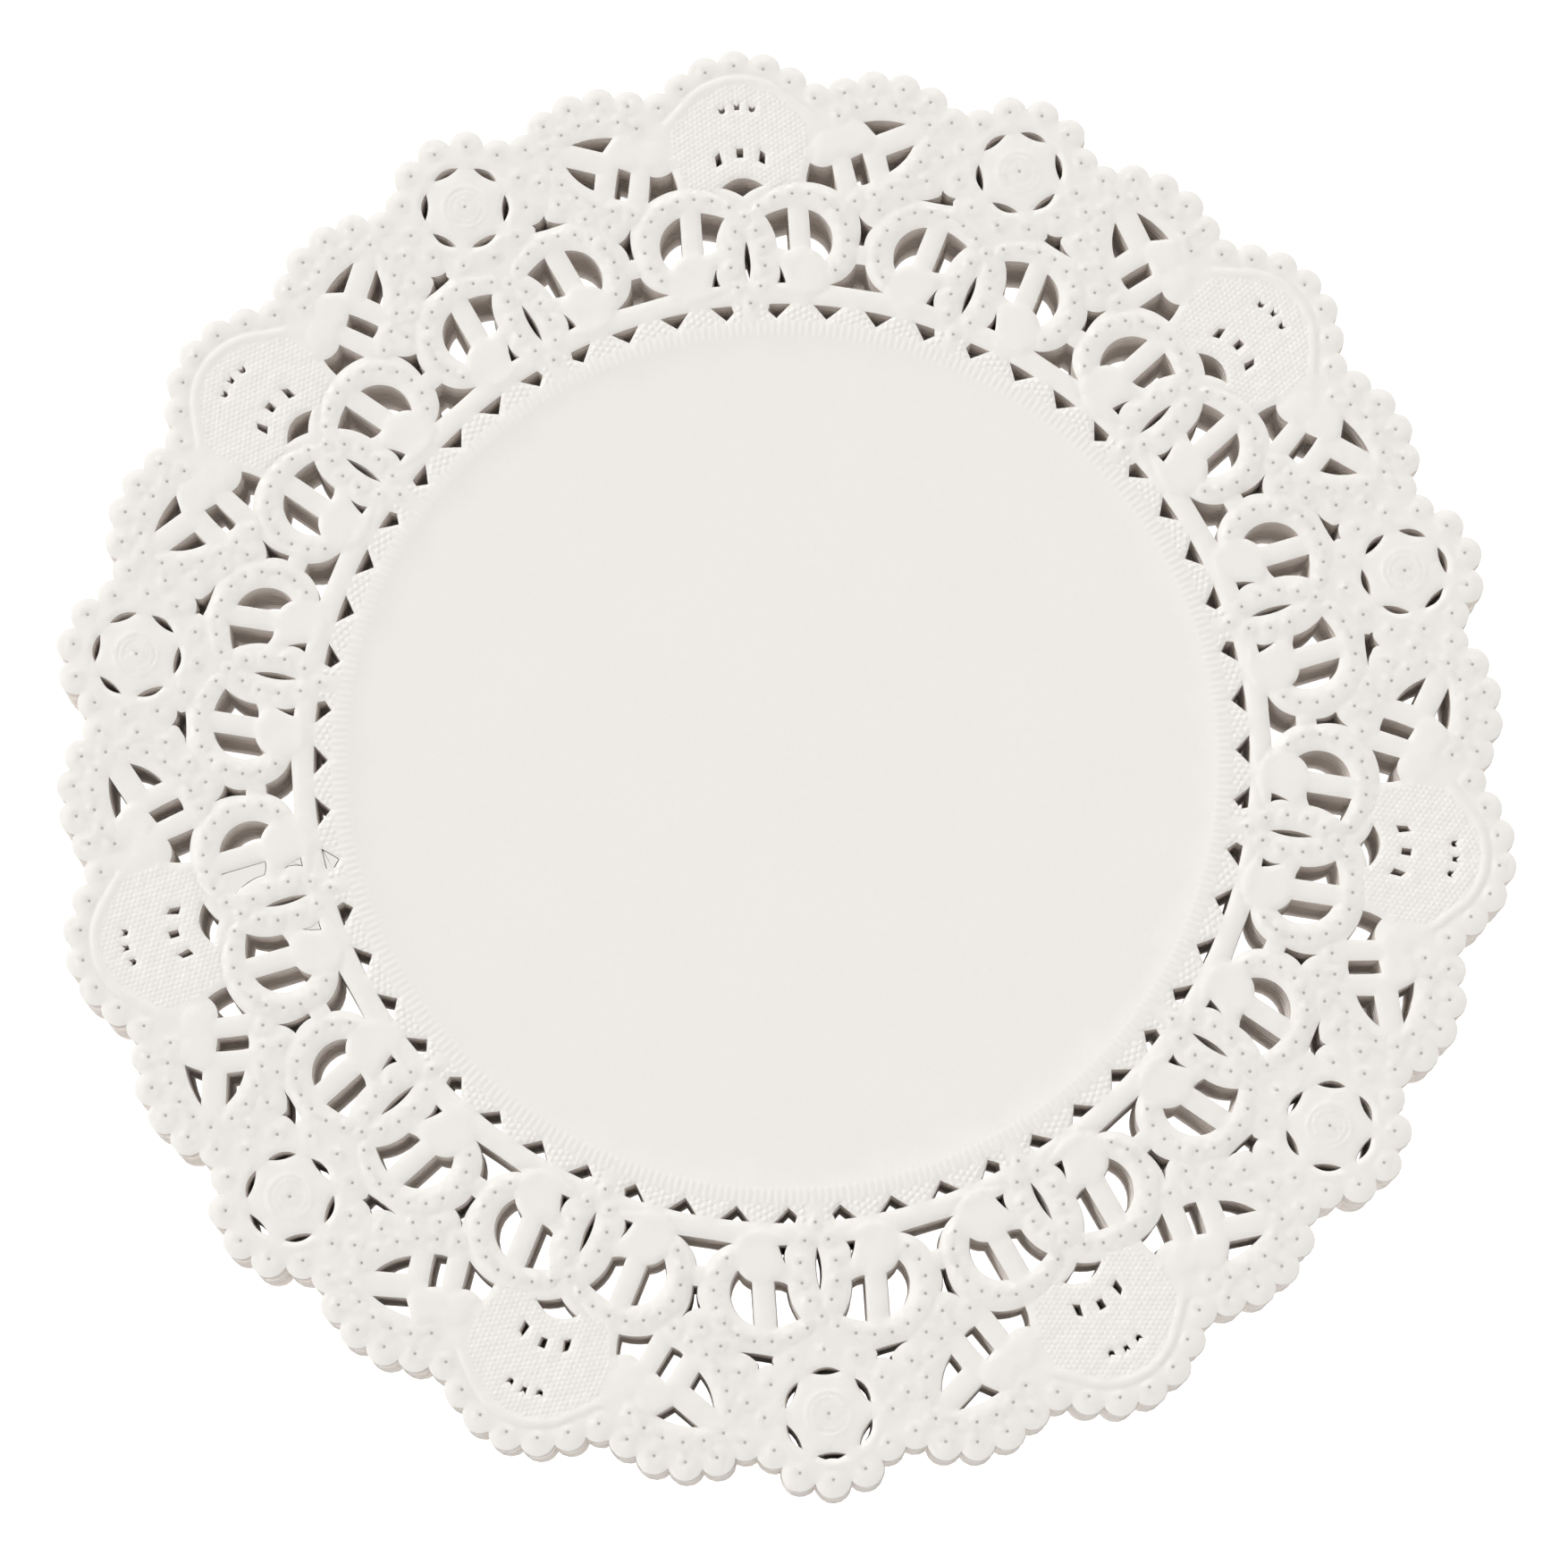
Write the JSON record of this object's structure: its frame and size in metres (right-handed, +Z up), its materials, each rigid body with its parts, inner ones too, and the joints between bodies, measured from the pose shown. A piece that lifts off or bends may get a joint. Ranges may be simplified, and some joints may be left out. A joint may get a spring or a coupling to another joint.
{
  "type": "stack of lace doilies",
  "caption": "Stack of round white paper doilies with a plain centre, a wide die-cut lace border and a scalloped edge; each doily lifts off the one below.",
  "frame": {"origin": "centre of the underside of the lowest doily", "axes": "+Z up through the stack, +Y through the centre of one fan of the lace border"},
  "size_m": [0.199, 0.203, 0.0122],
  "materials": {
    "paper": "matt, embossed, uncoated off-white paper"
  },
  "bodies": {
    "doily_01": {"doily_01": "paper"},
    "doily_02": {"doily_02": "paper"},
    "doily_03": {"doily_03": "paper"},
    "doily_04": {"doily_04": "paper"},
    "doily_05": {"doily_05": "paper"},
    "doily_06": {"doily_06": "paper"},
    "doily_07": {"doily_07": "paper"},
    "doily_08": {"doily_08": "paper"},
    "doily_09": {"doily_09": "paper"},
    "doily_10": {"doily_10": "paper"},
    "doily_11": {"doily_11": "paper"},
    "doily_12": {"doily_12": "paper"},
    "doily_13": {"doily_13": "paper"},
    "doily_14": {"doily_14": "paper"},
    "doily_15": {"doily_15": "paper"},
    "doily_16": {"doily_16": "paper"},
    "doily_17": {"doily_17": "paper"},
    "doily_18": {"doily_18": "paper"},
    "doily_19": {"doily_19": "paper"}
  },
  "joints": [
    {"name": "lift_02", "type": "slide", "parent": "doily_01", "child": "doily_02", "axis": [0, 0, 1], "range_m": [0, 0.03]},
    {"name": "lift_03", "type": "slide", "parent": "doily_02", "child": "doily_03", "axis": [0, 0, 1], "range_m": [0, 0.03]},
    {"name": "lift_04", "type": "slide", "parent": "doily_03", "child": "doily_04", "axis": [0, 0, 1], "range_m": [0, 0.03]},
    {"name": "lift_05", "type": "slide", "parent": "doily_04", "child": "doily_05", "axis": [0, 0, 1], "range_m": [0, 0.03]},
    {"name": "lift_06", "type": "slide", "parent": "doily_05", "child": "doily_06", "axis": [0, 0, 1], "range_m": [0, 0.03]},
    {"name": "lift_07", "type": "slide", "parent": "doily_06", "child": "doily_07", "axis": [0, 0, 1], "range_m": [0, 0.03]},
    {"name": "lift_08", "type": "slide", "parent": "doily_07", "child": "doily_08", "axis": [0, 0, 1], "range_m": [0, 0.03]},
    {"name": "lift_09", "type": "slide", "parent": "doily_08", "child": "doily_09", "axis": [0, 0, 1], "range_m": [0, 0.03]},
    {"name": "lift_10", "type": "slide", "parent": "doily_09", "child": "doily_10", "axis": [0, 0, 1], "range_m": [0, 0.03]},
    {"name": "lift_11", "type": "slide", "parent": "doily_10", "child": "doily_11", "axis": [0, 0, 1], "range_m": [0, 0.03]},
    {"name": "lift_12", "type": "slide", "parent": "doily_11", "child": "doily_12", "axis": [0, 0, 1], "range_m": [0, 0.03]},
    {"name": "lift_13", "type": "slide", "parent": "doily_12", "child": "doily_13", "axis": [0, 0, 1], "range_m": [0, 0.03]},
    {"name": "lift_14", "type": "slide", "parent": "doily_13", "child": "doily_14", "axis": [0, 0, 1], "range_m": [0, 0.03]},
    {"name": "lift_15", "type": "slide", "parent": "doily_14", "child": "doily_15", "axis": [0, 0, 1], "range_m": [0, 0.03]},
    {"name": "lift_16", "type": "slide", "parent": "doily_15", "child": "doily_16", "axis": [0, 0, 1], "range_m": [0, 0.03]},
    {"name": "lift_17", "type": "slide", "parent": "doily_16", "child": "doily_17", "axis": [0, 0, 1], "range_m": [0, 0.03]},
    {"name": "lift_18", "type": "slide", "parent": "doily_17", "child": "doily_18", "axis": [0, 0, 1], "range_m": [0, 0.03]},
    {"name": "lift_19", "type": "slide", "parent": "doily_18", "child": "doily_19", "axis": [0, 0, 1], "range_m": [0, 0.03]}
  ]
}
